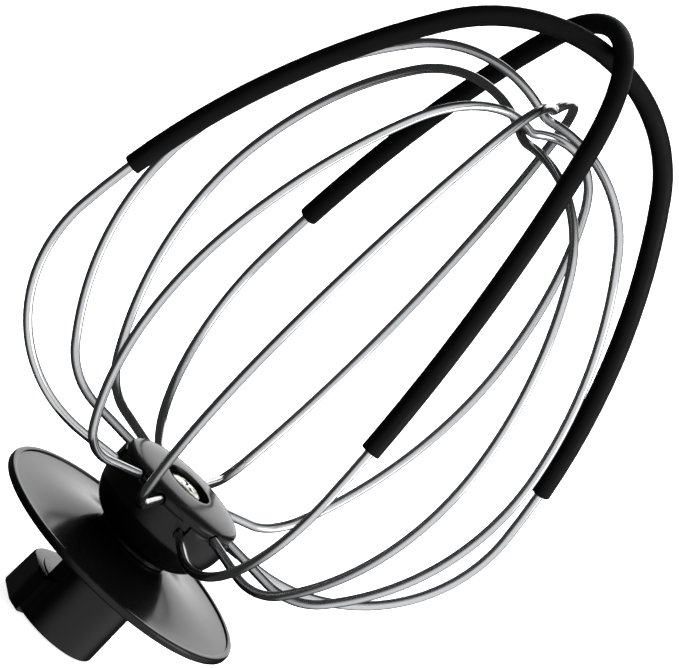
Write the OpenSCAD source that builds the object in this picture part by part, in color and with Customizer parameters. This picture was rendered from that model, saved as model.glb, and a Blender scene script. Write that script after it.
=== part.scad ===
// Balloon whisk for a household planetary stand mixer.
// +Z runs from the mouth of the drive socket to the crown of the whisk. The origin is the
// centre of the socket's mouth. The two sleeved loops lie in the XZ and YZ planes.

/* [Wire loops] */
// Diameter of the stainless wire
wire_d = 2; // [1.8:0.1:2.1]
// Outside diameter of the sleeves
sleeve_d = 4.2; // [4:0.1:4.4]
// Height at which the sleeves end on the legs
sleeve_end_z = 85.5; // [80:0.5:100]
// Widest radius of the sleeved loops, at the wire's middle
long_r = 58.2; // [57:0.1:61]
// Height of the sleeved loops' widest point
long_z = 70; // [68:0.5:74]
// Height of the lower sleeved loop's crown
long_top = 164.2; // [163:0.1:166]
// Widest radius of the bare loops
bare_r = 50; // [48:0.5:52]
// Height of the bare loops' widest point
bare_z = 83; // [81:0.5:88]
// Height of the lowest bare loop's crown, where it dips on the axis
bare_top = 140.2; // [139:0.1:142]

/* [Hub] */
// Outside diameter of the hub
hub_d = 30; // [29:0.5:31]
// Height of the parting face between bowl and cap, where the bare loops enter
parting_z = 38.7; // [38.5:0.1:39]
// Height at which the sleeved loops enter the hub
long_entry_z = 36; // [35.8:0.1:36.2]
// Diameter of the neck below the bowl
neck_d = 17; // [16.5:0.5:18]
// Top of the cap
cap_top_z = 41.3; // [41.1:0.1:41.6]
// Diameter of the screw's recess in the cap
recess_d = 10.8; // [10:0.2:11]

/* [Splash guard] */
// Diameter of the splash guard
guard_d = 60; // [56:1:64]
// Height of the guard's rim
guard_rim_z = 20.2; // [20:0.1:20.6]
// Height of the guard's collar
guard_top_z = 24.6; // [24.4:0.1:24.8]

/* [Drive socket] */
// Diameter of the drive bore
bore_d = 12.8; // [12.6:0.1:13]
// Depth of the drive bore
bore_depth = 17.5; // [16.5:0.5:17.5]
// Outside diameter of the socket tube
socket_d = 21; // [20:0.5:22]
// Height of the socket's shoulder, under the guard
shoulder_z = 19.6; // [19.5:0.1:19.8]
// Width of the slot for the shaft's cross-pin
slot_w = 4.2; // [4:0.1:4.6]
// Height of the ledge that the cross-pin hooks over
ledge_z = 9.5; // [9:0.5:10]
// Angle that the cross-pin turns through above the ledge
turn = 108; // [90:1:115]
// Direction of the slot's mouth, seen from above
slot_a = 93; // [85:1:100]

/* [Hidden] */
$fn = 64;
fit = 0.05;
sides = 12;

plastic = "#151515";
steel = "#c9cbcd";
brass = "#b08d4f";
sleeve_black = "#1b1b1b";

// Wires inside the hub
hook_r = 9.2;
hook_bend = 2;
hook_drop = 3.6;
channel_d = wire_d + 2 * fit;

// A loop's shape is a list: entry height, radius where it leaves the straight, angle of its
// first bend, widest radius, widest height, heading where the upper leg starts, heading
// where the crown starts, crown height, angle of the dip in the crown, radius of the dip.
long_lower = [long_entry_z, 24, 38, long_r, long_z, 96, 125, long_top, 0, 0];
long_upper = [long_entry_z, 24, 38, long_r, long_z, 96, 125, long_top + sleeve_d + 0.1, 0, 0];
function bare(step) = [parting_z, 25, 52, bare_r, bare_z, 100, 128, bare_top + step, 16, 6];
// Direction and crown step of each bare loop, from the lowest crown to the highest
BARE = [[120, 0], [32, 2.3], [150, 6.4], [60, 8.6]];
BARE_ANGLES = [for (b = BARE, side = [0, 180]) b[0] + side];
LONG_ANGLES = [0, 90, 180, 270];

// Screw stack on the axis
screw_r = 2;
screw_clearance = 0.2;
insert_r = 3;
insert_z = 21.5;
insert_h = 8;
stem_r = 6.9;
stem_top = 30.5;
stem_gap = 0.1;
cap_floor_z = parting_z + 0.6;
washer_h = 0.9;
washer_r = 3.6;
washer_split = 0.6;
head_r = 3.8;
head_draft = 0.5;
head_sink = 0.3;
cross_w = 0.9;
cross_l = 4.4;
cross_depth = 0.7;
cross_turn = 20;

// Shape of the socket: the leg is the cross-pin's way round above the ledge
leg_h = 5;
tube_draft = 0.1;
lug_r = 13.4;
lug_draft = 0.3;
lug_edge = 0.8;
lug_flat = 12.4;
lug_flat_turn = 88;
lug_gap = 14;
lug_step = 0.2;

// Shape of the guard, bowl and cap
guard_edge = 0.3;
guard_lip = 1.2;
guard_lip_h = 1.9;
guard_skirt = 0.6;
guard_curve = 2.2;
bowl_belly = 9;
bowl_edge = 0.8;
cap_step = 0.6;
cap_brow = 0.9;
tongue_l = 3.8;

// Cutters reach this far past the faces they cut through
over = 1;

// Bends of a loop below its widest point: [lower radius, upper radius]
function rise(s) = s[4] - s[0];
function reach(s) = s[3] - s[1];
function bend_sum(s) = sin(s[2]) + cos(s[2]) - 1;
function low_bend(s) = (reach(s) * cos(s[2]) - rise(s) * (1 - sin(s[2]))) / bend_sum(s);
function side_bend(s) = (rise(s) * sin(s[2]) - reach(s) * (1 - cos(s[2]))) / bend_sum(s);

// Point on a bend of radius r that starts at p with heading h0, once the heading is h
function along(p, r, h0, h) = [p[0] + r * (sin(h) - sin(h0)), p[1] + r * (cos(h0) - cos(h))];

// Start of the upper leg, its radius, and the start and radius of the crown
function leg_start(s) = [s[3] - side_bend(s) * (1 - sin(s[5])), s[4] - side_bend(s) * cos(s[5])];
function crown_slope(s) = (cos(s[6]) + cos(s[8])) / (sin(s[6]) + sin(s[8]));
function leg_bend(s) =
    let (p = leg_start(s), q = crown_slope(s), dip = s[9])
    (s[7] - p[1] - q * (p[0] - dip * sin(s[8])) + dip * (1 - cos(s[8])))
    / (cos(s[5]) - cos(s[6]) - q * (sin(s[5]) - sin(s[6])));
function crown_start(s) = along(leg_start(s), leg_bend(s), s[5], s[6]);
function crown_bend(s) = (crown_start(s)[0] - s[9] * sin(s[8])) / (sin(s[6]) + sin(s[8]));

// Heading of the upper leg at height z
function leg_heading(s, z) = acos(cos(s[5]) - (z - leg_start(s)[1]) / leg_bend(s));

// Wires and sleeves are swept along a list of stations [distance from the axis, height, heading].
// Stations of a bend, without its first one
function bend_stations(p, r, h0, h1, step) =
    let (n = ceil(abs(h1 - h0) / step))
    [for (i = [1:n]) let (h = h0 + i * (h1 - h0) / n) concat(along(p, r, h0, h), h)];

// Hooked end of a wire, which stands in the bowl's pocket, and the straight after it
function hook_stations(s) =
    let (low = s[0] - hook_bend, corner = hook_r + hook_bend)
    concat(
        [[hook_r, s[0] - hook_drop, 90], [hook_r, low, 90]],
        [for (h = [67.5, 45, 22.5, 0]) [corner - hook_bend * sin(h), low + hook_bend * cos(h), h]],
        [[s[1], s[0], 0]]
    );

// Half of a crown, up to the axis: part of one arch, or a shoulder and half of the dip
function crown_stations(s) = concat(
    bend_stations(crown_start(s), crown_bend(s), s[6], 180 + s[8], 7),
    s[8] == 0 ? [] : [for (h = [2 / 3, 1 / 3, 0] * s[8])
        [s[9] * sin(h), s[7] + s[9] * (1 - cos(h)), 180 + h]]
);

function half_loop(s) = concat(
    hook_stations(s),
    bend_stations([s[1], s[0]], low_bend(s), 0, s[2], 6.5),
    bend_stations(along([s[1], s[0]], low_bend(s), 0, s[2]), side_bend(s), s[2], s[5], 6.5),
    bend_stations(leg_start(s), leg_bend(s), s[5], s[6], 5),
    crown_stations(s)
);

// Half of a sleeve, from its end on the leg to the crown
function half_sleeve(s) =
    let (h = leg_heading(s, sleeve_end_z), end = along(leg_start(s), leg_bend(s), s[5], h))
    concat([concat(end, h)], bend_stations(end, leg_bend(s), h, s[6], 5), crown_stations(s));

// A half and its mirror image, as one run over the crown
function both_halves(half) =
    let (n = len(half))
    concat(half, [for (i = [n - 2:-1:0]) [-half[i][0], half[i][1], 360 - half[i][2]]]);

function ring(c, r) = [for (j = [0:sides - 1]) let (a = j * 360 / sides)
    [c[0] - r * cos(a) * sin(c[2]), r * sin(a), c[1] + r * cos(a) * cos(c[2])]];

// Two triangles between stations i and i + 1 on side j of a skin that starts at point base
function skin_pair(base, i, j) =
    let (a = base + i * sides + j, b = base + i * sides + (j + 1) % sides)
    [[a, b, a + sides], [b, b + sides, a + sides]];

module wire(run) {
    n = len(run);
    points = [for (c = run) each ring(c, wire_d / 2)];
    ends = [[for (j = [sides - 1:-1:0]) j], [for (j = [0:sides - 1]) (n - 1) * sides + j]];
    skin = [for (i = [0:n - 2], j = [0:sides - 1]) each skin_pair(0, i, j)];
    polyhedron(points, concat(skin, ends));
}

module tube(run) {
    n = len(run);
    inner = n * sides;
    points = concat(
        [for (c = run) each ring(c, sleeve_d / 2)],
        [for (c = run) each ring(c, wire_d / 2 + fit)]
    );
    outside = [for (i = [0:n - 2], j = [0:sides - 1]) each skin_pair(0, i, j)];
    bore = [for (i = [0:n - 2], j = [0:sides - 1], f = skin_pair(inner, i, j)) [f[0], f[2], f[1]]];
    ends = [for (j = [0:sides - 1]) let (k = (j + 1) % sides, m = (n - 1) * sides) each [
        [j, inner + j, k], [k, inner + j, inner + k],
        [m + j, m + k, m + inner + j], [m + k, m + inner + k, m + inner + j]
    ]];
    polyhedron(points, concat(outside, bore, ends));
}

module sleeved_loop_lower() {
    color(steel) wire(both_halves(half_loop(long_lower)));
}

module sleeved_loop_upper() {
    color(steel) rotate([0, 0, 90]) wire(both_halves(half_loop(long_upper)));
}

module sleeve_lower() {
    color(sleeve_black) tube(both_halves(half_sleeve(long_lower)));
}

module sleeve_upper() {
    color(sleeve_black) rotate([0, 0, 90]) tube(both_halves(half_sleeve(long_upper)));
}

module bare_loop(i) {
    color(steel) rotate([0, 0, BARE[i][0]]) wire(both_halves(half_loop(bare(BARE[i][1]))));
}

// Sector of a disc with radius r, from angle a to angle a + sweep
module sector(r, a, sweep) {
    steps = ceil(sweep / 30);
    far = r / cos(sweep / steps / 2);
    polygon([[0, 0], for (i = [0:steps]) far * [cos(a + i * sweep / steps), sin(a + i * sweep / steps)]]);
}

// Raised lug below the ledge that the cross-pin bears on; its outer face is part flat
module lug() {
    root = bore_d / 2 + 1.5;
    top_r = lug_r - lug_draft;
    top = ledge_z - lug_step;
    difference() {
        rotate([0, 0, slot_a + lug_gap])
        rotate_extrude(angle = turn)
        polygon([
            [root, 0], [lug_r, 0], [top_r, top - lug_edge],
            [top_r - lug_edge, top], [root, top]
        ]);
        rotate([0, 0, slot_a + lug_flat_turn])
        translate([lug_flat, -lug_r, -over])
        cube([lug_r, 2 * lug_r, ledge_z + 2 * over]);
    }
}

// Way up from the mouth for the cross-pin, into the way round
module pin_slot() {
    rotate([0, 0, slot_a])
    translate([0, -slot_w / 2, -over])
    cube([2 * lug_r, slot_w, ledge_z + leg_h / 2 + over]);
}

// Way round above the ledge, from just past the slot to the pin's stop
module pin_turn() {
    past_slot = asin(slot_w / bore_d) + 8;
    translate([0, 0, ledge_z])
    linear_extrude(leg_h) sector(2 * lug_r, slot_a - past_slot, turn + past_slot);
}

// Tube for the mixer's shaft, with the stem that carries the guard and the bowl
module drive_socket() {
    tube_r = socket_d / 2;
    color(plastic)
    difference() {
        union() {
            difference() {
                rotate_extrude()
                polygon([
                    [bore_d / 2, 0], [tube_r, 0], [tube_r - tube_draft, shoulder_z],
                    [stem_r, shoulder_z], [stem_r, stem_top],
                    [insert_r, stem_top], [insert_r, insert_z],
                    [0, insert_z], [0, bore_depth], [bore_d / 2, bore_depth]
                ]);
                pin_turn();
            }
            lug();
        }
        pin_slot();
    }
}

// Moulded-in thread for the cap screw
module thread_insert() {
    color(brass)
    translate([0, 0, insert_z])
    difference() {
        cylinder(r = insert_r - fit, h = insert_h);
        translate([0, 0, -over]) cylinder(r = screw_r + fit, h = insert_h + 2 * over);
    }
}

// Height of the guard's upper face at radius r: nearly flat at the rim, steep at the collar
function guard_face(r) =
    let (rim = guard_d / 2, t = (rim - r) / (rim - neck_d / 2), low = guard_rim_z + 0.9)
    low + (guard_top_z - low) * pow(t, guard_curve);

module splash_guard() {
    rim = guard_d / 2;
    lip = rim - guard_lip;
    collar = neck_d / 2 + 0.7;
    hole = stem_r + fit;
    under = guard_rim_z - 0.5;
    steps = 14;
    color(plastic)
    rotate_extrude()
    polygon([
        [hole, shoulder_z],
        [socket_d / 2 + guard_skirt, shoulder_z],
        [lip, under],
        [rim - guard_edge, under],
        [rim, under + guard_edge],
        [rim, under + guard_lip_h - guard_edge],
        [rim - guard_edge, under + guard_lip_h],
        for (i = [0:steps]) let (r = lip + i * (collar - lip) / steps) [r, guard_face(r)],
        [collar, guard_top_z],
        [hole, guard_top_z]
    ]);
}

// Space of one wire in the bowl: its run, its pocket, and the way in from above
module wire_channel(z) {
    floor_gap = 0.2;
    translate([hook_r, 0, z - hook_drop - floor_gap])
    cylinder(d = channel_d, h = cap_top_z - z + hook_drop);
    translate([hook_r, 0, z]) rotate([0, 90, 0]) cylinder(d = channel_d, h = hub_d);
    translate([hook_r, -channel_d / 2, z]) cube([hub_d, channel_d, cap_top_z - z]);
    translate([hook_r, -channel_d / 2, z - hook_bend]) cube([hook_bend, channel_d, hook_bend]);
}

module hub_bowl() {
    rim = hub_d / 2;
    waist = neck_d / 2;
    foot = guard_top_z + 1;
    seat = stem_top + stem_gap;
    hole = screw_r + screw_clearance;
    color(plastic)
    difference() {
        rotate_extrude()
        polygon([
            [hole, seat],
            [stem_r + fit, seat],
            [stem_r + fit, guard_top_z],
            [waist, guard_top_z],
            [waist, foot],
            for (a = [10:10:90]) [waist - 1 + (rim - waist + 1) * sin(a), foot + bowl_belly * (1 - cos(a))],
            [rim, parting_z - bowl_edge],
            [rim - bowl_edge, parting_z],
            [hole, parting_z]
        ]);
        for (a = BARE_ANGLES) rotate([0, 0, a]) wire_channel(parting_z);
        for (a = LONG_ANGLES) rotate([0, 0, a]) wire_channel(long_entry_z);
    }
}

// Domed lid over the wires, with tongues that close the channels above the sleeved loops
module hub_cap() {
    rim = hub_d / 2 - cap_step;
    recess = recess_d / 2;
    dome = cap_top_z - parting_z - cap_brow;
    tongue_z = long_entry_z + channel_d / 2;
    tongue_w = channel_d - 2 * fit;
    color(plastic)
    difference() {
        union() {
            rotate_extrude()
            polygon([
                [0, parting_z],
                [rim, parting_z],
                for (a = [0:10:90]) [recess + (rim - recess) * cos(a), parting_z + cap_brow + dome * sin(a)],
                [0, cap_top_z]
            ]);
            for (a = LONG_ANGLES) rotate([0, 0, a])
            translate([hook_r + channel_d / 2, -tongue_w / 2, tongue_z])
            cube([tongue_l, tongue_w, parting_z - tongue_z + 0.2]);
        }
        translate([0, 0, cap_floor_z]) cylinder(r = recess, h = cap_top_z);
        cylinder(r = screw_r + screw_clearance, h = 2 * cap_top_z);
        for (a = BARE_ANGLES) rotate([0, 0, a])
        translate([hook_r - channel_d / 2, 0, parting_z]) rotate([0, 90, 0])
        cylinder(d = channel_d, h = hub_d);
    }
}

// Split washer under the screw's head
module lock_washer() {
    color(steel)
    translate([0, 0, cap_floor_z])
    difference() {
        cylinder(r = washer_r, h = washer_h);
        translate([0, 0, -over]) cylinder(r = screw_r + fit, h = washer_h + 2 * over);
        translate([0, -washer_split / 2, -over]) cube([washer_r + over, washer_split, washer_h + 2 * over]);
    }
}

// Pan-head screw with a cross recess
module cap_screw() {
    seat = cap_floor_z + washer_h;
    head = cap_top_z - head_sink - seat;
    tip = insert_z + 0.5;
    color(steel)
    difference() {
        union() {
            translate([0, 0, tip]) cylinder(r = screw_r, h = seat - tip + head / 2);
            translate([0, 0, seat]) cylinder(r1 = head_r, r2 = head_r - head_draft, h = head);
        }
        for (a = [0, 90]) rotate([0, 0, a + cross_turn])
        translate([-cross_l / 2, -cross_w / 2, seat + head - cross_depth])
        cube([cross_l, cross_w, cross_depth + over]);
    }
}

drive_socket();
thread_insert();
splash_guard();
hub_bowl();
hub_cap();
cap_screw();
lock_washer();
sleeved_loop_lower();
sleeved_loop_upper();
sleeve_lower();
sleeve_upper();
bare_loop(0);  // bare_loop_1
bare_loop(1);  // bare_loop_2
bare_loop(2);  // bare_loop_3
bare_loop(3);  // bare_loop_4
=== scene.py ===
"""Balloon whisk for a stand mixer: smooth wires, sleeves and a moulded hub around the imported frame."""
import logging
import math
from dataclasses import dataclass
from enum import Enum
from typing import Any, Sequence

import bmesh
import bpy
from mathutils import Matrix, Vector


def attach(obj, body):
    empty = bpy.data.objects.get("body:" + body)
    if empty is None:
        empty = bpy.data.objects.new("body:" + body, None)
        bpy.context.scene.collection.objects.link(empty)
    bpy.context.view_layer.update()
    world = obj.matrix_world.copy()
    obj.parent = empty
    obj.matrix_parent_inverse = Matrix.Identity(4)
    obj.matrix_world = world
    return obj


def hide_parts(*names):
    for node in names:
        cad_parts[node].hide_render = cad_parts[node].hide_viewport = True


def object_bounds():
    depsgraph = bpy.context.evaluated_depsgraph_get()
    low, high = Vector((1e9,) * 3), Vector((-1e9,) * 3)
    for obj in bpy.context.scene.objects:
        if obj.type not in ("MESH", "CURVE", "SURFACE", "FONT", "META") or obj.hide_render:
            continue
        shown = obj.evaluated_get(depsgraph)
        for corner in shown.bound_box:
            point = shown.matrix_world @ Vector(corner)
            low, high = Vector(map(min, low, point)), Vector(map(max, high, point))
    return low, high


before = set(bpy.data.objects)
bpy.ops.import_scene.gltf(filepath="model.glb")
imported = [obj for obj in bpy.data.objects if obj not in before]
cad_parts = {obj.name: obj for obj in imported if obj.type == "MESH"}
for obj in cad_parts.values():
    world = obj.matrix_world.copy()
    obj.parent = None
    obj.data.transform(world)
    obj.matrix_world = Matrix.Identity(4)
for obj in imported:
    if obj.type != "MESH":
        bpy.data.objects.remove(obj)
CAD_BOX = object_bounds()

log = logging.getLogger("whisk")

MM = 0.001  # the shapes below are in millimetres and are turned to metres when a piece is finished

Point = tuple[float, float]


class Slot(Enum):
    """The record's material slots of the new pieces."""

    PLASTIC = "hub_plastic"
    WIRE = "wire_steel"
    SCREW = "screw_steel"
    SLEEVE = "sleeve_rubber"


class Cut(Enum):
    """What a second shape does to the first one."""

    REMOVE = "DIFFERENCE"
    ADD = "UNION"


# ---------------------------------------------------------------- nodes and colours


def linear(colour: str) -> tuple[float, float, float, float]:
    """Linear colour of an sRGB hex value.

    Args:
        colour: Six hex digits after a hash.

    Returns:
        Red, green, blue and alpha.
    """
    parts = [int(colour[i : i + 2], 16) / 255 for i in (1, 3, 5)]
    red, green, blue = (p / 12.92 if p <= 0.04045 else ((p + 0.055) / 1.055) ** 2.4 for p in parts)
    return red, green, blue, 1.0


def add_node(
    tree: bpy.types.NodeTree, kind: str, inputs: dict[str | int, Any] | None = None, **settings: Any
) -> bpy.types.Node:
    """Adds a node with its settings, values and links.

    Args:
        tree: The tree that the node joins.
        kind: The node's type.
        inputs: A value or a linked socket for each named or numbered input.
        settings: The node's own properties.

    Returns:
        The new node.
    """
    node = tree.nodes.new(kind)
    for name, value in settings.items():
        setattr(node, name, value)
    for key, value in (inputs or {}).items():
        if isinstance(value, bpy.types.NodeSocket):
            tree.links.new(value, node.inputs[key])
        else:
            node.inputs[key].default_value = value
    return node


# ---------------------------------------------------------------- finishes


@dataclass(frozen=True)
class Finish:
    """A real material: what it is called, its colour and how rough its surface is.

    Attributes:
        name: Common name of the material and how its surface was made.
        colour: sRGB hex value of the bulk.
        roughness: Middle of the surface's roughness.
    """

    name: str
    colour: str
    roughness: float

    def start(self) -> tuple[bpy.types.Material, bpy.types.NodeTree, bpy.types.Node]:
        """Makes the material with its shader and output.

        Returns:
            The material, its tree and its Principled shader.
        """
        material = bpy.data.materials.new(self.name)
        material.use_nodes = True
        tree = material.node_tree
        tree.nodes.clear()
        shader = add_node(
            tree, "ShaderNodeBsdfPrincipled", {"Base Color": linear(self.colour), "Roughness": self.roughness}
        )
        add_node(tree, "ShaderNodeOutputMaterial", {"Surface": shader.outputs[0]})
        return material, tree, shader

    def cloud(
        self,
        shader: bpy.types.Node,
        place: bpy.types.NodeSocket,
        size: float,
        detail: float,
        harsh: float = 0.5,
    ) -> bpy.types.NodeSocket:
        """A soft irregular pattern.

        Args:
            shader: The material's shader.
            place: Where the pattern is read.
            size: Size of its patches, in the unit of that place.
            detail: Number of finer layers.
            harsh: Weight of the finer layers.

        Returns:
            The pattern's value, from 0 to 1.
        """
        inputs = {"Vector": place, "Scale": 1 / size, "Detail": detail, "Roughness": harsh}
        return add_node(shader.id_data, "ShaderNodeTexNoise", inputs).outputs["Fac"]

    def vary(self, shader: bpy.types.Node, pattern: bpy.types.NodeSocket, least: float, most: float) -> None:
        """Lets the roughness follow a pattern.

        Args:
            shader: The material's shader.
            pattern: The pattern's value; nearly all of a cloud lies between 0.3 and 0.7.
            least: Least share of the middle roughness.
            most: Greatest share of the middle roughness.
        """
        spread = {"From Min": 0.3, "From Max": 0.7}
        span = {"To Min": self.roughness * least, "To Max": self.roughness * most}
        rough = add_node(shader.id_data, "ShaderNodeMapRange", {"Value": pattern, **spread, **span})
        shader.id_data.links.new(rough.outputs[0], shader.inputs["Roughness"])

    def raise_by(
        self, shader: bpy.types.Node, pattern: bpy.types.NodeSocket, depth_mm: float, strength: float
    ) -> None:
        """Gives the surface a relief.

        Args:
            shader: The material's shader.
            pattern: Height of the relief, from 0 to 1.
            depth_mm: Depth of the relief.
            strength: Share of the relief that shows.
        """
        inputs = {"Strength": strength, "Distance": depth_mm * MM, "Height": pattern}
        bump = add_node(shader.id_data, "ShaderNodeBump", inputs)
        shader.id_data.links.new(bump.outputs[0], shader.inputs["Normal"])


@dataclass(frozen=True)
class MouldedPlastic(Finish):
    """Glossy black ABS from a polished mould: near-black, with a mirror-like sheen at grazing angles.

    Attributes:
        ripple_mm: Width of the faint waves that shrinkage leaves in the gloss.
        ripple_depth_mm: Depth of those waves.
        handled_mm: Size of the patches that washing and handling have dulled.
    """

    ripple_mm: float = 6.0
    ripple_depth_mm: float = 0.004
    handled_mm: float = 9.0

    def build(self) -> bpy.types.Material:
        """Makes the material on object coordinates."""
        material, tree, shader = self.start()
        place = add_node(tree, "ShaderNodeTexCoord").outputs["Object"]
        self.vary(shader, self.cloud(shader, place, self.handled_mm * MM, 6.0, 0.65), 0.8, 1.25)
        self.raise_by(shader, self.cloud(shader, place, self.ripple_mm * MM, 2.0), self.ripple_depth_mm, 1.0)
        shader.inputs["IOR"].default_value = 1.52
        shader.inputs["Specular IOR Level"].default_value = 0.26
        return material


@dataclass(frozen=True)
class SweptFinish(Finish):
    """A finish with lines along a swept bar, read from the bar's own straightened place in millimetres.

    Attributes:
        line_mm: Spacing of the lines round the bar.
        line_depth_mm: Depth of the lines.
        line_detail: Number of finer layers in the lines.
        stretch: Width of a line as a share of its length.
        shown: Share of the lines' relief that shows.
        patch_mm: Size of the duller and brighter patches.
        patch_detail: Number of finer layers in the patches.
        least: Least share of the middle roughness in a patch.
        most: Greatest share of the middle roughness in a patch.
    """

    line_mm: float
    line_depth_mm: float
    line_detail: float
    stretch: float
    shown: float
    patch_mm: float
    patch_detail: float
    least: float
    most: float

    def sweep(self) -> tuple[bpy.types.Material, bpy.types.Node]:
        """Makes the material with its lines and patches.

        Returns:
            The material and its shader.
        """
        material, tree, shader = self.start()
        place = add_node(tree, "ShaderNodeAttribute", attribute_name="sweep").outputs["Vector"]
        scale = (1.0, 1.0, self.stretch)
        drawn = add_node(tree, "ShaderNodeMapping", {"Vector": place, "Scale": scale}).outputs[0]
        patches = self.cloud(shader, place, self.patch_mm, self.patch_detail)
        self.vary(shader, patches, self.least, self.most)
        lines = self.cloud(shader, drawn, self.line_mm, self.line_detail)
        self.raise_by(shader, lines, self.line_depth_mm, self.shown)
        return material, shader


@dataclass(frozen=True)
class DrawnWire(SweptFinish):
    """Stainless wire, drawn and then barrel-polished: bright, with faint lines along its length.

    Real draw lines are a few hundredths of a millimetre apart; these are coarser, so that they show.
    """

    line_mm: float = 0.25
    line_depth_mm: float = 0.002
    line_detail: float = 3.0
    stretch: float = 0.02
    shown: float = 0.6
    patch_mm: float = 14.0
    patch_detail: float = 4.0
    least: float = 0.75
    most: float = 1.3

    def build(self) -> bpy.types.Material:
        """Makes the material as a bare metal."""
        material, shader = self.sweep()
        shader.inputs["Metallic"].default_value = 1.0
        return material


@dataclass(frozen=True)
class ExtrudedSilicone(SweptFinish):
    """Black food-grade silicone tube: satin, with faint lines from the extruder's die and a soft bloom.

    Real die lines are about a tenth of a millimetre apart; these are coarser, so that they show.
    """

    line_mm: float = 0.5
    line_depth_mm: float = 0.006
    line_detail: float = 2.0
    stretch: float = 0.03
    shown: float = 0.7
    patch_mm: float = 5.0
    patch_detail: float = 5.0
    least: float = 0.85
    most: float = 1.2

    def build(self) -> bpy.types.Material:
        """Makes the material as a soft, dull rubber."""
        material, shader = self.sweep()
        shader.inputs["IOR"].default_value = 1.42
        shader.inputs["Specular IOR Level"].default_value = 0.14
        return material


@dataclass(frozen=True)
class TurnedMetal(Finish):
    """Metal turned on a lathe: rings about the part's axis catch the light as a fan.

    Real rings are about a tenth of a millimetre apart; these are coarser, so that they show.

    Attributes:
        ring_mm: Spacing of the turning rings.
        ring_depth_mm: Depth of the turning rings.
    """

    ring_mm: float = 1.131
    ring_depth_mm: float = 0.003

    # The wave texture turns through this many radians for each unit of its scale
    WAVE_TURN = 20

    def build(self) -> bpy.types.Material:
        """Makes the material on object coordinates, with its rings about +Z."""
        material, tree, shader = self.start()
        place = add_node(tree, "ShaderNodeTexCoord").outputs["Object"]
        scale = 2 * math.pi / (self.WAVE_TURN * self.ring_mm * MM)
        rings = add_node(
            tree,
            "ShaderNodeTexWave",
            {"Vector": place, "Scale": scale, "Distortion": 0.6, "Detail": 1.0},
            wave_type="RINGS",
            rings_direction="Z",
        )
        self.raise_by(shader, rings.outputs["Fac"], self.ring_depth_mm, 0.5)
        shader.inputs["Metallic"].default_value = 1.0
        return material


# ---------------------------------------------------------------- turned and cut shapes


@dataclass(frozen=True)
class Corner:
    """One corner of a turned outline, in millimetres.

    Attributes:
        r: Distance from the axis.
        z: Height.
        fillet: Radius of the round on this corner.
    """

    r: float
    z: float
    fillet: float = 0.0


def rounded(corners: Sequence[Corner], steps: int = 5) -> list[Point]:
    """Closed outline through the corners, each one rounded by its arc.

    Args:
        corners: The corners in order round the outline.
        steps: Straight pieces in each arc.

    Returns:
        Points (distance from the axis, height).
    """
    points: list[Point] = []
    count = len(corners)
    for i, corner in enumerate(corners):
        here = Vector((corner.r, corner.z))
        before = Vector((corners[i - 1].r, corners[i - 1].z)) - here
        after = Vector((corners[(i + 1) % count].r, corners[(i + 1) % count].z)) - here
        half = before.angle(after) / 2
        if corner.fillet <= 0 or half > math.radians(89):
            points.append((here.x, here.y))
            continue
        cut = min(corner.fillet / math.tan(half), 0.49 * before.length, 0.49 * after.length)
        radius = cut * math.tan(half)
        middle = here + (before.normalized() + after.normalized()).normalized() * (radius / math.sin(half))
        first = here + before.normalized() * cut - middle
        last = here + after.normalized() * cut - middle
        turn = first.angle_signed(last)
        for k in range(steps + 1):
            spoke = Matrix.Rotation(-turn * k / steps, 2) @ first
            points.append((middle.x + spoke.x, middle.y + spoke.y))
    return points


def turned(name: str, outline: Sequence[Point], segments: int = 128) -> bpy.types.Object:
    """A closed outline turned about the axis, in the unit of the outline.

    Args:
        name: The piece's name.
        outline: Points (distance from the axis, height); those on the axis become poles.
        segments: Faces round the axis.

    Returns:
        The new object.
    """
    mesh = bmesh.new()
    rings: list[list[bmesh.types.BMVert]] = []
    for r, z in outline:
        if r < 1e-6:
            rings.append([mesh.verts.new((0, 0, z))] * segments)
            continue
        angles = [2 * math.pi * j / segments for j in range(segments)]
        rings.append([mesh.verts.new((r * math.cos(a), r * math.sin(a), z)) for a in angles])
    for i, ring in enumerate(rings):
        following = rings[(i + 1) % len(rings)]
        for j in range(segments):
            k = (j + 1) % segments
            corners = list(dict.fromkeys([ring[j], ring[k], following[k], following[j]]))
            if len(corners) >= 3:
                mesh.faces.new(corners)
    return as_object(name, mesh)


def as_object(name: str, mesh: bmesh.types.BMesh) -> bpy.types.Object:
    """Turns a bmesh into an object in the scene, with its faces pointing outwards."""
    bmesh.ops.recalc_face_normals(mesh, faces=mesh.faces)
    data = bpy.data.meshes.new(name)
    mesh.to_mesh(data)
    mesh.free()
    piece = bpy.data.objects.new(name, data)
    bpy.context.scene.collection.objects.link(piece)
    return piece


def prism(outline: Sequence[Point], start: float, end: float, turns: Sequence[Matrix]) -> bpy.types.Object:
    """Copies of an outline in the YZ plane, pushed from x = start to x = end.

    Args:
        outline: Points (y, z) round the outline.
        start: Where each copy starts.
        end: Where each copy ends.
        turns: The place of each copy.

    Returns:
        One object with all the copies.
    """
    mesh = bmesh.new()
    for place in turns:
        near = [mesh.verts.new(place @ Vector((start, y, z))) for y, z in outline]
        far = [mesh.verts.new(place @ Vector((end, y, z))) for y, z in outline]
        mesh.faces.new(near)
        mesh.faces.new(far)
        for i in range(len(outline)):
            j = (i + 1) % len(outline)
            mesh.faces.new([near[i], near[j], far[j], far[i]])
    return as_object("cutter", mesh)


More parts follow.
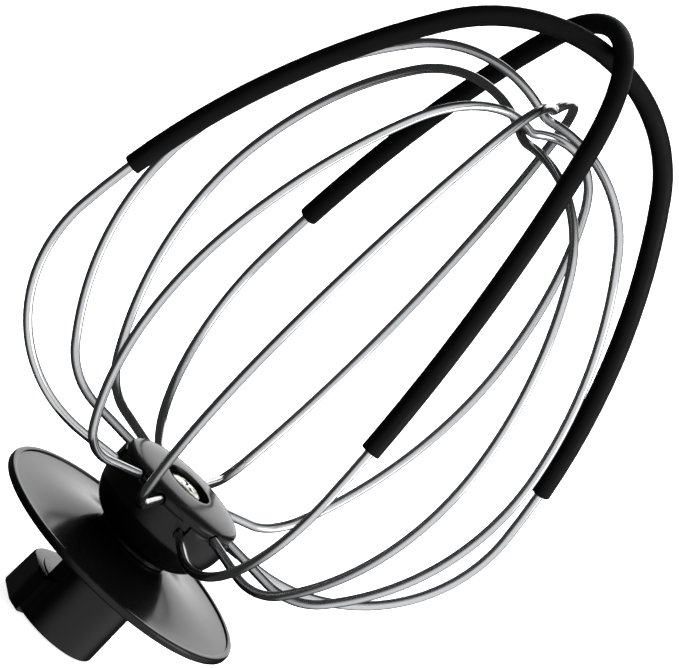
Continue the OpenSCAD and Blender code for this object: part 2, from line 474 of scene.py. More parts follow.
def sector(radius: float, low: float, high: float, start: float, sweep: float) -> bpy.types.Object:
    """Part of a disc about the axis, from angle start on, in degrees.

    Args:
        radius: Radius of the disc.
        low: Its lower face.
        high: Its upper face.
        start: First angle.
        sweep: Angle from the first side to the second.

    Returns:
        The new object.
    """
    mesh = bmesh.new()
    steps = 24
    angles = [math.radians(start + sweep * i / steps) for i in range(steps + 1)]
    rim = [(0.0, 0.0)] + [(radius * math.cos(a), radius * math.sin(a)) for a in angles]
    floor = [mesh.verts.new((x, y, low)) for x, y in rim]
    roof = [mesh.verts.new((x, y, high)) for x, y in rim]
    mesh.faces.new(floor)
    mesh.faces.new(roof)
    for i in range(len(rim)):
        j = (i + 1) % len(rim)
        mesh.faces.new([floor[i], floor[j], roof[j], roof[i]])
    return as_object("cutter", mesh)


def about_z(degrees: float) -> Matrix:
    """A turn about the whisk's axis."""
    return Matrix.Rotation(math.radians(degrees), 4, "Z")


def settle(piece: bpy.types.Object) -> None:
    """Applies a piece's modifiers and removes them."""
    graph = bpy.context.evaluated_depsgraph_get()
    data = bpy.data.meshes.new_from_object(piece.evaluated_get(graph))
    piece.modifiers.clear()
    piece.data = data


def combine(piece: bpy.types.Object, tool: bpy.types.Object, how: Cut) -> None:
    """Adds a second shape to a piece or removes it, and deletes the second shape.

    Args:
        piece: The piece that stays.
        tool: The second shape.
        how: What the second shape does.
    """
    modifier = piece.modifiers.new("combine", "BOOLEAN")
    modifier.operation = how.value
    modifier.object = tool
    modifier.solver = "EXACT"
    settle(piece)
    bpy.data.objects.remove(tool)


def soften(piece: bpy.types.Object, width: float, above: float = 35, segments: int = 3) -> None:
    """Rounds a piece's sharp edges.

    Args:
        piece: The piece.
        width: Width of the round.
        above: Least angle between faces that counts as sharp, in degrees.
        segments: Faces across the round.
    """
    bevel = piece.modifiers.new("soften", "BEVEL")
    bevel.width = width
    bevel.segments = segments
    bevel.limit_method = "ANGLE"
    bevel.angle_limit = math.radians(above)
    bevel.use_clamp_overlap = True
    bevel.miter_outer = "MITER_ARC"
    settle(piece)


def finish_piece(
    piece: bpy.types.Object, material: bpy.types.Material, nodes: Sequence[str], sharp: float = 30
) -> None:
    """Brings a piece to metres, shades it, dresses it and ties it to the frame.

    Args:
        piece: The piece, in millimetres.
        material: Its material.
        nodes: The CAD nodes that it stands for.
        sharp: Angle between faces above which an edge stays crisp, in degrees.
    """
    mesh = bmesh.new()
    mesh.from_mesh(piece.data)
    bmesh.ops.remove_doubles(mesh, verts=mesh.verts, dist=1e-4)
    bmesh.ops.dissolve_degenerate(mesh, edges=mesh.edges, dist=1e-5)
    bmesh.ops.recalc_face_normals(mesh, faces=mesh.faces)
    bmesh.ops.scale(mesh, vec=(MM, MM, MM), verts=mesh.verts)
    for face in mesh.faces:
        face.smooth = True
    for edge in mesh.edges:
        edge.smooth = len(edge.link_faces) != 2 or edge.calc_face_angle(0.0) < math.radians(sharp)
    open_edges = sum(1 for edge in mesh.edges if len(edge.link_faces) != 2)
    mesh.to_mesh(piece.data)
    mesh.free()
    piece.data.materials.clear()
    piece.data.materials.append(material)
    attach(piece, "root")
    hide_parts(*nodes)
    log.info("%s: %d faces, %d open edges", piece.name, len(piece.data.polygons), open_edges)


# ---------------------------------------------------------------- wires and sleeves


@dataclass(frozen=True)
class LoopShape:
    """Half of a wire loop in its own plane, in millimetres and degrees.

    A heading is the wire's direction: 0 points away from the axis and 90 points up.

    Attributes:
        entry_z: Height at which the wire leaves the hub.
        straight_r: Where its straight run ends.
        first_bend: Angle of its first bend.
        wide_r: Widest radius.
        wide_z: Height of the widest point.
        leg_heading: Heading where the upper leg starts.
        crown_heading: Heading where the crown starts.
        crown_z: Height of the crown on the axis.
        dip: Angle of the dip in the crown.
        dip_r: Radius of the dip.
    """

    entry_z: float
    straight_r: float
    first_bend: float
    wide_r: float
    wide_z: float
    leg_heading: float
    crown_heading: float
    crown_z: float
    dip: float = 0.0
    dip_r: float = 0.0

    HOOK_R = 9.2
    HOOK_BEND = 2.0
    HOOK_DROP = 3.6
    STEP = 2.0

    @property
    def bends(self) -> Point:
        """Radii of the bends below the widest point: the lower one and the side."""
        rise, reach = self.wide_z - self.entry_z, self.wide_r - self.straight_r
        s, c = math.sin(math.radians(self.first_bend)), math.cos(math.radians(self.first_bend))
        return (reach * c - rise * (1 - s)) / (s + c - 1), (rise * s - reach * (1 - c)) / (s + c - 1)

    @staticmethod
    def along(start: Point, radius: float, first: float, heading: float) -> Point:
        """Point on a bend, once it has turned from its first heading to another."""
        a, b = math.radians(first), math.radians(heading)
        return (
            start[0] + radius * (math.sin(b) - math.sin(a)),
            start[1] + radius * (math.cos(a) - math.cos(b)),
        )

    @property
    def leg(self) -> tuple[Point, float]:
        """Start and radius of the upper leg."""
        side = self.bends[1]
        h, k, d = (math.radians(a) for a in (self.leg_heading, self.crown_heading, self.dip))
        start = (self.wide_r - side * (1 - math.sin(h)), self.wide_z - side * math.cos(h))
        slope = (math.cos(k) + math.cos(d)) / (math.sin(k) + math.sin(d))
        level = self.crown_z + self.dip_r * (1 - math.cos(d)) - start[1]
        level -= slope * (start[0] - self.dip_r * math.sin(d))
        return start, level / (math.cos(h) - math.cos(k) - slope * (math.sin(h) - math.sin(k)))

    def bend(self, start: Point, radius: float, first: float, last: float) -> list[Point]:
        """Points of one bend after its start."""
        count = max(1, math.ceil(abs(last - first) / self.STEP))
        ends = [first + (last - first) * i / count for i in range(1, count + 1)]
        return [self.along(start, radius, first, end) for end in ends]

    def crown(self) -> list[Point]:
        """Points from the start of the crown to the axis."""
        start, radius = self.leg
        start = self.along(start, radius, self.leg_heading, self.crown_heading)
        k, d = math.radians(self.crown_heading), math.radians(self.dip)
        round_r = (start[0] - self.dip_r * math.sin(d)) / (math.sin(k) + math.sin(d))
        points = self.bend(start, round_r, self.crown_heading, 180 + self.dip)
        if self.dip > 0:
            points += self.bend(points[-1], -self.dip_r, 180 + self.dip, 180)
        return points

    def hook(self) -> list[Point]:
        """Points of the end that is hooked into the hub, up to the end of the straight run."""
        low = self.entry_z - self.HOOK_BEND
        bend = self.bend((self.HOOK_R, low), -self.HOOK_BEND, 90, 0)
        tip = (self.HOOK_R, self.entry_z - self.HOOK_DROP)
        return [tip, (self.HOOK_R, low), *bend, (self.straight_r, self.entry_z)]

    def half(self) -> list[Point]:
        """Points from the wire's end in the hub to the axis."""
        low, side = self.bends
        first = self.bend((self.straight_r, self.entry_z), low, 0, self.first_bend)
        second = self.bend(first[-1], side, self.first_bend, self.leg_heading)
        start, radius = self.leg
        third = self.bend(start, radius, self.leg_heading, self.crown_heading)
        return self.hook() + first + second + third + self.crown()

    def half_above(self, z: float, ease: Sequence[float]) -> list[Point]:
        """Points from a height on the upper leg to the axis, with close ones at the start.

        Args:
            z: Height of the first point.
            ease: Distances from the first point at which there is a point too.

        Returns:
            Points (distance from the axis, height).
        """
        start, radius = self.leg
        first = math.degrees(math.acos(math.cos(math.radians(self.leg_heading)) - (z - start[1]) / radius))
        end = self.along(start, radius, self.leg_heading, first)
        eased = [self.along(end, radius, first, first + math.degrees(e / radius)) for e in (0.0, *ease)]
        from_heading = first + math.degrees(max(ease) / radius)
        return eased + self.bend(eased[-1], radius, from_heading, self.crown_heading) + self.crown()


def both_halves(half: Sequence[Point]) -> list[Point]:
    """A half and its mirror image as one run over the crown."""
    return [*half, *[(-r, z) for r, z in reversed(half[:-1])]]


class SweptTube:
    """The tree that turns a path into a round bar with eased ends, and remembers how the bar runs."""

    INPUTS = {
        "Radius": ("NodeSocketFloat", 1.0),
        "Ease": ("NodeSocketFloat", 0.3),
        "Sides": ("NodeSocketInt", 20),
    }

    def __init__(self, material: bpy.types.Material) -> None:
        """Builds the tree.

        Args:
            material: The material that the bar gets.
        """
        self.tree = bpy.data.node_groups.new("swept_tube", "GeometryNodeTree")
        face = self.tree.interface
        face.new_socket("Path", in_out="INPUT", socket_type="NodeSocketGeometry")
        for name, (kind, value) in self.INPUTS.items():
            face.new_socket(name, in_out="INPUT", socket_type=kind).default_value = value
        face.new_socket("Bar", in_out="OUTPUT", socket_type="NodeSocketGeometry")
        given = add_node(self.tree, "NodeGroupInput").outputs
        path = add_node(self.tree, "GeometryNodeMeshToCurve", {0: given["Path"]}).outputs[0]
        run = add_node(self.tree, "GeometryNodeSplineParameter").outputs["Length"]
        rail = self.remember(path, "run", "FLOAT", run)
        shape = {"Resolution": given["Sides"], "Radius": given["Radius"]}
        circle = add_node(self.tree, "GeometryNodeCurvePrimitiveCircle", shape)
        place = add_node(self.tree, "GeometryNodeInputPosition").outputs[0]
        section = self.remember(circle.outputs["Curve"], "section", "FLOAT_VECTOR", place)
        bar = add_node(
            self.tree,
            "GeometryNodeCurveToMesh",
            {"Curve": rail, "Profile Curve": section, "Scale": self.eased(given, run), "Fill Caps": True},
        ).outputs[0]
        bar = self.remember(bar, "sweep", "FLOAT_VECTOR", self.swept())
        bar = add_node(self.tree, "GeometryNodeRealizeInstances", {0: bar}).outputs[0]
        bar = add_node(self.tree, "GeometryNodeSetMaterial", {0: bar, "Material": material}).outputs[0]
        add_node(self.tree, "NodeGroupOutput", {0: bar})

    def remember(
        self, shape: bpy.types.NodeSocket, name: str, kind: str, value: bpy.types.NodeSocket
    ) -> bpy.types.NodeSocket:
        """Stores a value on a shape's points under a name and returns the shape."""
        inputs = {0: shape, "Name": name}
        node = add_node(self.tree, "GeometryNodeStoreNamedAttribute", inputs, data_type=kind)
        self.tree.links.new(value, node.inputs["Value"])
        return node.outputs[0]

    def recall(self, name: str, kind: str) -> bpy.types.NodeSocket:
        """The value that was stored on the points under a name."""
        node = add_node(self.tree, "GeometryNodeInputNamedAttribute", {"Name": name}, data_type=kind)
        return node.outputs["Attribute"]

    def math(self, how: str, *values: Any) -> bpy.types.NodeSocket:
        """The result of one sum on sockets and numbers."""
        return add_node(self.tree, "ShaderNodeMath", dict(enumerate(values)), operation=how).outputs[0]

    def eased(self, given: Any, run: bpy.types.NodeSocket) -> bpy.types.NodeSocket:
        """Scale of the section along the path, less than one where an end is rounded off.

        Args:
            given: The tree's inputs.
            run: Distance along the path.

        Returns:
            The scale.
        """
        whole = add_node(self.tree, "GeometryNodeSplineLength").outputs["Length"]
        from_end = self.math("MINIMUM", run, self.math("SUBTRACT", whole, run))
        left = self.math("SUBTRACT", 1.0, self.math("DIVIDE", from_end, given["Ease"]))
        left = self.math("MAXIMUM", left, 0.0)
        height = self.math("SQRT", self.math("SUBTRACT", 1.0, self.math("POWER", left, 2.0)))
        drop = self.math("MULTIPLY", self.math("SUBTRACT", 1.0, height), given["Ease"])
        return self.math("SUBTRACT", 1.0, self.math("DIVIDE", drop, given["Radius"]))

    def swept(self) -> bpy.types.NodeSocket:
        """The place in a straightened bar: the section's own place, and the run along it."""
        upright = add_node(self.tree, "ShaderNodeCombineXYZ", {"Z": self.recall("run", "FLOAT")}).outputs[0]
        both = {0: self.recall("section", "FLOAT_VECTOR"), 1: upright}
        return add_node(self.tree, "ShaderNodeVectorMath", both, operation="ADD").outputs[0]

    def sweep(self, name: str, path: Sequence[Point], turn: float, **sizes: float) -> bpy.types.Object:
        """Makes a bar along a path.

        Args:
            name: The piece's name.
            path: Points (distance from the axis, height).
            turn: Angle of the path's plane about the axis, in degrees.
            sizes: Values of the tree's inputs, by name in lower case.

        Returns:
            The bar as a plain mesh, in millimetres.
        """
        data = bpy.data.meshes.new(name)
        points = [about_z(turn) @ Vector((r, 0, z)) for r, z in path]
        data.from_pydata(points, [(i, i + 1) for i in range(len(points) - 1)], [])
        piece = bpy.data.objects.new(name, data)
        bpy.context.scene.collection.objects.link(piece)
        modifier = piece.modifiers.new("sweep", "NODES")
        modifier.node_group = self.tree
        for item in self.tree.interface.items_tree:
            if item.in_out == "INPUT" and item.name.lower() in sizes:
                modifier[item.identifier] = sizes[item.name.lower()]
        settle(piece)
        return piece


@dataclass
class WireBalloon:
    """The six wire loops and the two sleeves.

    Attributes:
        wire_d: Diameter of the wire.
        sleeve_d: Outside diameter of the sleeves.
        sleeve_end_z: Height at which the sleeves end.
        long_top: Height of the lower sleeved loop's crown.
        bare_top: Height of the lowest bare loop's crown.
    """

    wire_d: float = 2.0
    sleeve_d: float = 4.2
    sleeve_end_z: float = 85.5
    long_top: float = 164.2
    bare_top: float = 140.2

    BARE_TURNS = (120, 32, 150, 60)
    CROWN_GAP = 0.1  # clearance between the two sleeves where they cross
    EASE_STEPS = (0.03, 0.08, 0.15, 0.25, 0.4)  # distances from a sleeve's end over which it is rounded off
    BARE_STEPS = (0, 2.3, 6.4, 8.6)

    def long(self, step: float) -> LoopShape:
        """Shape of a sleeved loop whose crown is raised by a step."""
        return LoopShape(36, 24, 38, 58.2, 70, 96, 125, self.long_top + step)

    def bare(self, step: float) -> LoopShape:
        """Shape of a bare loop whose crown is raised by a step."""
        return LoopShape(38.7, 25, 52, 50, 83, 100, 128, self.bare_top + step, 16, 6)

    def build(self, wire: bpy.types.Material, sleeve: bpy.types.Material) -> None:
        """Makes and dresses the loops and the sleeves.

        Args:
            wire: Material of the wires.
            sleeve: Material of the sleeves.
        """
        bars, tubes = SweptTube(wire), SweptTube(sleeve)
        wire_r, sleeve_r = self.wire_d / 2, self.sleeve_d / 2
        for i, (turn, step) in enumerate(zip(self.BARE_TURNS, self.BARE_STEPS), start=1):
            path = both_halves(self.bare(step).half())
            piece = bars.sweep(f"bare_wire_{i}", path, turn, radius=wire_r)
            finish_piece(piece, wire, [f"bare_loop_{i}"])
        for place, turn, step in (("lower", 0, 0.0), ("upper", 90, self.sleeve_d + self.CROWN_GAP)):
            shape = self.long(step)
            piece = bars.sweep(f"long_wire_{place}", both_halves(shape.half()), turn, radius=wire_r)
            finish_piece(piece, wire, [f"sleeved_loop_{place}"])
            path = both_halves(shape.half_above(self.sleeve_end_z, self.EASE_STEPS))
            sizes = {"radius": sleeve_r, "ease": self.EASE_STEPS[-1], "sides": 32}
            piece = tubes.sweep(f"silicone_sleeve_{place}", path, turn, **sizes)
            finish_piece(piece, sleeve, [f"sleeve_{place}"], sharp=50)


# ---------------------------------------------------------------- hub


@dataclass
class Hub:
    """Splash guard, bowl, cap and screw.

    Attributes:
        hub_r: Outside radius of the bowl.
        neck_r: Radius of the neck under the bowl.
        stem_r: Radius of the stem inside the neck.
        parting_z: Height of the parting face between bowl and cap.
        entry_z: Height at which the sleeved loops enter.
        cap_top_z: Top of the cap.
        recess_r: Radius of the recess for the screw.
        guard_r: Radius of the splash guard.
        guard_z: Underside of the guard's rim.
        collar_z: Top of the guard's collar.
    """

    hub_r: float = 15.0
    neck_r: float = 8.5
    stem_r: float = 6.95
    parting_z: float = 38.7
    entry_z: float = 36.0
    cap_top_z: float = 41.3
    recess_r: float = 5.4
    guard_r: float = 30.0
    guard_z: float = 19.7
    collar_z: float = 24.6

    LONG_TURNS = (0, 90, 180, 270)
    BARE_TURNS = (32, 60, 120, 150, 212, 240, 300, 330)
    NOTCH_START = 9.0  # distance from the axis at which a slot for a wire starts
    SLOT_HALF = 1.15  # half of a slot's width in the bowl
    ARCH_HALF = 1.3  # half of an arch's width in the cap
    PAST_PARTING = 2.0  # how far slots and arches are cut past the parting face
    SCREW_HOLE_R = 2.2

    def guard(self, plastic: bpy.types.Material) -> None:
        """Makes the splash guard: a shallow cone with a rolled lip, which sweeps up into a collar."""
        lip = self.guard_r - 1.3
        low, rise = self.guard_z + 1.4, self.collar_z - self.guard_z - 1.4
        collar = self.neck_r + 0.7
        steps = 28
        face = []
        for i in range(steps + 1):
            r = lip + i * (collar - lip) / steps
            share = (self.guard_r - r) / (self.guard_r - self.neck_r)
            face.append(Corner(r, low + rise * share**2.2))
        outline = rounded(
            [
                Corner(self.stem_r, 19.6),
                Corner(11.1, 19.6, 0.3),
                Corner(lip, self.guard_z, 0.4),
                Corner(self.guard_r, self.guard_z, 0.5),
                Corner(self.guard_r, self.guard_z + 1.75, 0.6),
                Corner(lip, self.guard_z + 1.7, 0.5),
                *face,
                Corner(self.stem_r, self.collar_z),
            ]
        )
        piece = turned("splash_guard_moulding", outline, 192)
        finish_piece(piece, plastic, ["splash_guard"])

    def notch(self, turns: Sequence[int], z: float, half: float, top: float) -> bpy.types.Object:
        """Slots for wires: round below, straight up to a top.

        Args:
            turns: Direction of each slot.
            z: Height of the wires' middle.
            half: Half of the slot's width.
            top: Height that the slot reaches; below z it hangs downwards instead.

        Returns:
            A cutter.
        """
        side = 1 if top > z else -1
        arc = [math.pi * i / 12 for i in range(13)]
        outline = [(half * math.cos(a), z - side * half * math.sin(a)) for a in arc]
        outline += [(-half, top), (half, top)]
        return prism(outline, self.NOTCH_START, self.hub_r + 3, [about_z(a) for a in turns])

    def bowl(self, plastic: bpy.types.Material) -> None:
        """Makes the bowl that carries the wires, with a slot for each of them."""
        foot, belly = self.collar_z + 1, 9.0
        reach = self.hub_r - self.neck_r + 1
        side = []
        for a in range(6, 91, 6):
            s, c = math.sin(math.radians(a)), math.cos(math.radians(a))
            side.append(Corner(self.neck_r - 1 + reach * s, foot + belly * (1 - c)))
        outline = rounded(
            [
                Corner(self.SCREW_HOLE_R, 30.6),
                Corner(self.stem_r, 30.6),
                Corner(self.stem_r, self.collar_z),
                Corner(self.neck_r, self.collar_z, 0.2),
                Corner(self.neck_r, foot, 0.4),
                *side[1:],
                Corner(self.hub_r, self.parting_z, 0.8),
                Corner(self.SCREW_HOLE_R, self.parting_z),
            ]
        )
        piece = turned("hub_bowl_moulding", outline, 144)
        top = self.parting_z + self.PAST_PARTING
        combine(piece, self.notch(self.BARE_TURNS, self.parting_z, self.SLOT_HALF, top), Cut.REMOVE)
        combine(piece, self.notch(self.LONG_TURNS, self.entry_z, self.SLOT_HALF, top), Cut.REMOVE)
        soften(piece, 0.18)
        finish_piece(piece, plastic, ["hub_bowl"])

    def cap(self, plastic: bpy.types.Material) -> None:
        """Makes the domed cap, with arches over the bare wires and tongues over the sleeved loops."""
        rim, brow = self.hub_r - 0.6, 0.9
        dome = self.cap_top_z - self.parting_z - brow
        slope = []
        for a in range(0, 91, 9):
            s, c = math.sin(math.radians(a)), math.cos(math.radians(a))
            reach = (rim - self.recess_r) * c
            fillet = 0.25 if a == 90 else 0
            slope.append(Corner(self.recess_r + reach, self.parting_z + brow + dome * s, fillet))
        outline = rounded(
            [
                Corner(self.SCREW_HOLE_R, self.parting_z),
                Corner(rim, self.parting_z),
                *slope,
                Corner(self.recess_r, self.parting_z + 0.6, 0.3),
                Corner(self.SCREW_HOLE_R, self.parting_z + 0.6),
            ]
        )
        piece = turned("hub_cap_moulding", outline, 144)
        low = self.parting_z - self.PAST_PARTING
        combine(piece, self.notch(self.BARE_TURNS, self.parting_z, self.ARCH_HALF, low), Cut.REMOVE)
        tongue = [(-1.0, self.entry_z + 1.05), (1.0, self.entry_z + 1.05), (1.0, 39.2), (-1.0, 39.2)]
        combine(piece, prism(tongue, 10.3, 14.2, [about_z(a) for a in self.LONG_TURNS]), Cut.ADD)
        soften(piece, 0.16)
        finish_piece(piece, plastic, ["hub_cap"])

    def screw(self, steel: bpy.types.Material) -> None:
        """Makes the pan-head screw with its tapered cross recess."""
        seat, top = self.parting_z + 1.5, self.cap_top_z - 0.3
        dome = [Corner(3.75 * math.cos(a), top - 0.75 + 0.75 * math.sin(a)) for a in (0.35, 0.7, 1.05, 1.3)]
        outline = rounded(
            [
                Corner(0, 22.0),
                Corner(2.0, 22.0, 0.3),
                Corner(2.0, seat),
                Corner(3.8, seat, 0.1),
                Corner(3.8, top - 0.7, 0.2),
                *dome,
                Corner(0, top),
            ]
        )
        piece = turned("cap_screw_turned", outline, 96)
        taper = [(-0.28, top - 0.85), (0.28, top - 0.85), (0.5, top + 0.3), (-0.5, top + 0.3)]
        arms = [about_z(20 + a) for a in (0, 90)]
        combine(piece, prism(taper, -2.1, 2.1, arms[:1]), Cut.REMOVE)
        combine(piece, prism(taper, -2.1, 2.1, arms[1:]), Cut.REMOVE)
        soften(piece, 0.06, segments=2)
        finish_piece(piece, steel, ["cap_screw"])

    def build(self, plastic: bpy.types.Material, steel: bpy.types.Material) -> None:
        """Makes and dresses all four pieces.

        Args:
            plastic: Material of the mouldings.
            steel: Material of the screw.
        """
        self.guard(plastic)
        self.bowl(plastic)
        self.cap(plastic)
        self.screw(steel)


@dataclass
class DriveSocket:
    """Bayonet socket that goes over the mixer's shaft, with the stem that carries the hub.

    Attributes:
        bore_r: Radius of the drive bore.
        bore_depth: Depth of the drive bore.
        tube_r: Outside radius of the tube.
        shoulder_z: Height of the shoulder under the guard.
        stem_r: Radius of the stem.
        stem_top: Top of the stem.
        ledge_z: Height of the ledge that the cross-pin hooks over.
        leg_h: Height of the way round above the ledge.
        slot_w: Width of the slot.
        slot_turn: Direction of the slot.
        turn: Angle of the way round.
        lug_r: Outside radius of the lug.
        lug_flat: Distance of the lug's flat from the axis.
    """

    bore_r: float = 6.4
    bore_depth: float = 17.5
    tube_r: float = 10.5
    shoulder_z: float = 19.6
    stem_r: float = 6.9
    stem_top: float = 30.5
    ledge_z: float = 9.5
    leg_h: float = 5.0
    slot_w: float = 4.2
    slot_turn: float = 93.0
    turn: float = 108.0
    lug_r: float = 13.4
    lug_flat: float = 12.4

    LUG_ROOT = 1.5  # how far inside the tube's wall the lug starts, from the bore
    LUG_BELOW = 0.2  # how far the lug's top stays under the ledge
    LUG_GAP = 14.0  # degrees from the slot to the lug
    FLAT_TURN = 88.0  # degrees from the slot to the middle of the lug's flat
    PAST_SLOT = 20.0  # degrees that the way round reaches past the slot

    def lug(self) -> bpy.types.Object:
        """Makes the raised lug below the ledge: part of a ring, with a flat outer face."""
        inner, top = self.bore_r + self.LUG_ROOT, self.ledge_z - self.LUG_BELOW
        corners = [
            Corner(inner, 0.15),
            Corner(self.lug_r, 0.15, 0.5),
            Corner(self.lug_r - 0.3, top, 0.8),
            Corner(inner, top),
        ]
        piece = turned("lug", rounded(corners), 144)
        past = self.slot_turn + self.LUG_GAP + self.turn
        combine(piece, sector(3 * self.lug_r, -1, top + 1, past, 360 - self.turn), Cut.REMOVE)
        flat = [(-self.lug_r, -1.0), (self.lug_r, -1.0), (self.lug_r, top + 1), (-self.lug_r, top + 1)]
        cutter = prism(flat, self.lug_flat, 2 * self.lug_r, [about_z(self.slot_turn + self.FLAT_TURN)])
        combine(piece, cutter, Cut.REMOVE)
        return piece

    def build(self, plastic: bpy.types.Material) -> None:
        """Makes and dresses the socket.

        Args:
            plastic: Material of the moulding.
        """
        outline = rounded(
            [
                Corner(self.bore_r, 0, 0.5),
                Corner(self.tube_r, 0, 0.5),
                Corner(self.tube_r - 0.1, self.shoulder_z),
                Corner(self.stem_r, self.shoulder_z),
                Corner(self.stem_r, self.stem_top, 0.3),
                Corner(3.0, self.stem_top),
                Corner(3.0, 21.5),
                Corner(0, 21.5),
                Corner(0, self.bore_depth),
                Corner(self.bore_r, self.bore_depth),
            ]
        )
        piece = turned("drive_socket_moulding", outline, 144)
        first, sweep = self.slot_turn - self.PAST_SLOT, self.turn + self.PAST_SLOT
        way = sector(3 * self.lug_r, self.ledge_z, self.ledge_z + self.leg_h, first, sweep)
        combine(piece, way, Cut.REMOVE)
        combine(piece, self.lug(), Cut.ADD)
        half = self.slot_w / 2
        top = self.ledge_z + self.leg_h / 2
        gap = [(-half, -1.0), (half, -1.0), (half, top), (-half, top)]
        slot = prism(gap, 0.0, 2 * self.lug_r, [about_z(self.slot_turn)])
        combine(piece, slot, Cut.REMOVE)
        soften(piece, 0.25)
        finish_piece(piece, plastic, ["drive_socket"])


# ---------------------------------------------------------------- studio


@dataclass(frozen=True)
class SoftBox:
    """A square studio light that faces the whisk and doesn't show itself.

    Attributes:
        name: The light's name.
        azimuth: Direction in degrees; the camera's own is the studio's azimuth.
        elevation: Degrees above the horizon.
        distance: Metres from the whisk.
        size: Side of the light, in metres.
        glow: Brightness of its face, where 1 is the picture's white.
        mirrored: Whether glossy surfaces show it.
    """

    name: str
    azimuth: float
    elevation: float
    distance: float
    size: float
    glow: float
    mirrored: bool = True

    def build(self, target: Vector) -> None:
        """Puts the light in the scene, facing the target."""
        data = bpy.data.lights.new(self.name, "AREA")
        data.shape = "SQUARE"
        data.size = self.size
        data.energy = self.glow * math.pi * self.size**2
        light = bpy.data.objects.new(self.name, data)
        back = towards(self.azimuth, self.elevation)
        light.location = target + back * self.distance
        light.rotation_euler = back.to_track_quat("Z", "Y").to_euler()
        light.visible_camera = False
        light.visible_glossy = self.mirrored
        bpy.context.scene.collection.objects.link(light)


def towards(azimuth: float, elevation: float) -> Vector:
    """Unit vector from the whisk to where a camera at that azimuth and elevation stands."""
    a, e = math.radians(azimuth), math.radians(elevation)
    return Vector((math.sin(a) * math.cos(e), -math.cos(a) * math.cos(e), math.sin(e)))


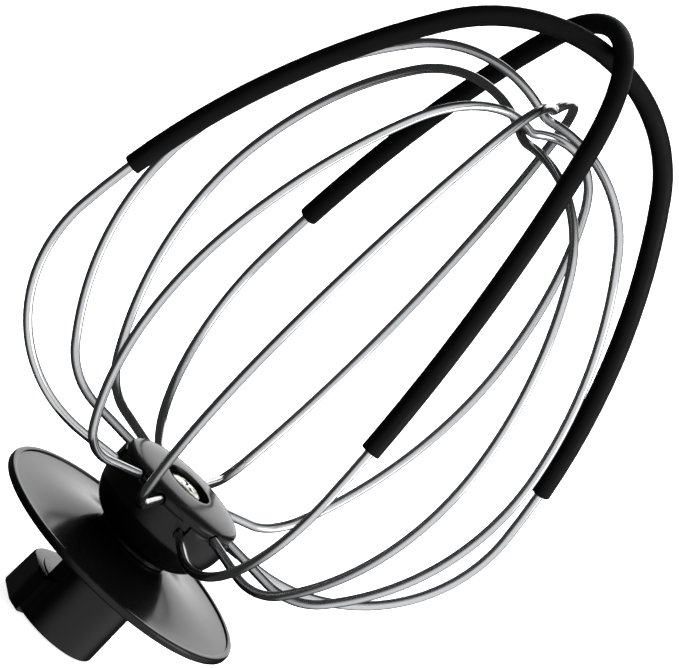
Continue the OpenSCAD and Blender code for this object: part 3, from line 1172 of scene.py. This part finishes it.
@dataclass
class Studio:
    """Pale floor, soft light and the camera.

    Attributes:
        azimuth: The camera's direction, in degrees.
        elevation: The camera's height above the horizon, in degrees.
        lean: How far the whisk leans clockwise in the picture, in degrees.
        distance: Metres from the camera to the whisk's middle.
        field: Width of the view at the whisk, in metres.
        aside: How far the view's middle lies to the right of the whisk's axis, in metres.
        floor_z: Height of the floor, in metres.
        floor_glow: The floor's own light, which keeps it a plain white sweep.
        look_z: Height on the whisk's axis that the camera looks at, in metres.
        room_turn: Direction of the room's pale wall, in degrees to the right of the camera.
        room_glow: Brightness of that wall.
        room_dim: Brightness of the rest of the room.
    """

    azimuth: float = -21.8
    elevation: float = 13.9
    lean: float = 44.3
    distance: float = 1.84
    field: float = 0.13607
    aside: float = 0.00057
    floor_z: float = -0.0005
    floor_glow: float = 0.85
    look_z: float = 0.0854
    room_turn: float = 52.0
    room_glow: float = 1.35
    room_dim: float = 0.05

    # Cosines of the angle to the pale wall between which the room goes from dim to pale
    DIM_AT = -0.1
    PALE_AT = 0.75

    def camera(self, height: float) -> None:
        """Makes the camera.

        Args:
            height: Height on the whisk's axis that the camera looks at, in metres.
        """
        back = towards(self.azimuth, self.elevation)
        side = Vector((0, 0, 1)).cross(back).normalized()
        up = back.cross(side)
        lean = math.radians(self.lean)
        x = side * math.cos(lean) + up * math.sin(lean)
        y = up * math.cos(lean) - side * math.sin(lean)
        place = Vector((0, 0, height)) + side * self.aside + back * self.distance
        data = bpy.data.cameras.new("camera")
        data.sensor_width = 36
        data.lens = data.sensor_width * self.distance / self.field
        data.clip_end = 50
        camera = bpy.data.objects.new("camera", data)
        rows = [(x[i], y[i], back[i], place[i]) for i in range(3)]
        camera.matrix_world = Matrix((*rows, (0, 0, 0, 1)))
        bpy.context.scene.collection.objects.link(camera)
        bpy.context.scene.camera = camera

    def floor(self) -> None:
        """Makes the floor, a wide sheet of white laminate that curves up into a wall far away."""
        arc = [math.radians(a) for a in range(0, 91, 10)]
        curve = [(7 + 3 * math.sin(a), self.floor_z + 3 * (1 - math.cos(a))) for a in arc]
        outside = [(10.1, 7.0), (10.1, self.floor_z - 0.1), (0.0, self.floor_z - 0.1)]
        piece = turned("floor", [(0.0, self.floor_z), *curve, (10.0, 7.0), *outside], 96)
        material, _, shader = Finish("White laminate", "#F4F4F4", 0.6).start()
        shader.inputs["Specular IOR Level"].default_value = 0.2
        shader.inputs["Emission Color"].default_value = linear("#FFFFFF")
        shader.inputs["Emission Strength"].default_value = self.floor_glow
        piece.visible_glossy = False
        piece.visible_diffuse = False
        piece.data.materials.append(material)

    def lights(self, target: Vector) -> None:
        """Makes the soft boxes."""
        for box in (
            SoftBox("top_box", self.azimuth + 155, 64, 1.1, 1.2, 6.5, False),
            SoftBox("back_wall", self.azimuth + 180, 14, 1.7, 1.05, 1.5),
            SoftBox("side_box", self.azimuth + 84, 10, 1.2, 0.8, 2.6),
        ):
            box.build(target)

    def room(self) -> None:
        """Makes the room's own light: a pale wall to the front and right, and darkness behind the whisk."""
        world = bpy.data.worlds.new("room")
        world.use_nodes = True
        tree = world.node_tree
        tree.nodes.clear()
        look = add_node(tree, "ShaderNodeTexCoord").outputs["Generated"]
        pale = towards(self.azimuth + self.room_turn, 10)
        share = add_node(tree, "ShaderNodeVectorMath", {0: look, 1: pale}, operation="DOT_PRODUCT")
        spread = {"From Min": self.DIM_AT, "From Max": self.PALE_AT}
        span = {"Value": share.outputs["Value"], "To Min": self.room_dim, "To Max": self.room_glow}
        level = add_node(tree, "ShaderNodeMapRange", {**spread, **span}, interpolation_type="SMOOTHSTEP")
        light = add_node(tree, "ShaderNodeBackground", {"Strength": level.outputs[0]})
        add_node(tree, "ShaderNodeOutputWorld", {"Surface": light.outputs[0]})
        bpy.context.scene.world = world

    def build(self) -> None:
        """Makes the camera, the floor and the lights."""
        low, high = CAD_BOX
        middle = (low + high) / 2
        self.camera(self.look_z)
        self.floor()
        self.lights(middle)
        self.room()
        bpy.context.scene.view_settings.view_transform = "Standard"


def dress(node: str, material: bpy.types.Material) -> None:
    """Gives a CAD node that stays in view its material."""
    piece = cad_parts[node]
    piece.data.materials.clear()
    piece.data.materials.append(material)
    log.info("%s: dressed in %s", node, material.name)


def main() -> None:
    """Builds the studio, then the whisk from its loops down to its socket."""
    logging.basicConfig(level=logging.INFO, format="%(name)s: %(message)s")
    Studio().build()
    plastic = MouldedPlastic("Glossy black ABS", "#0B0B0C", 0.16).build()
    wire = DrawnWire("Polished stainless wire", "#C9CACC", 0.14).build()
    sleeve = ExtrudedSilicone("Black silicone tube", "#070708", 0.5).build()
    steel = TurnedMetal("Nickel-plated screw steel", "#D2D0CB", 0.22).build()
    brass = TurnedMetal("Turned brass", "#C9A25A", 0.3).build()
    WireBalloon().build(wire, sleeve)
    Hub().build(plastic, steel)
    DriveSocket().build(plastic)
    dress("thread_insert", brass)
    dress("lock_washer", steel)


if __name__ == "__main__":
    main()
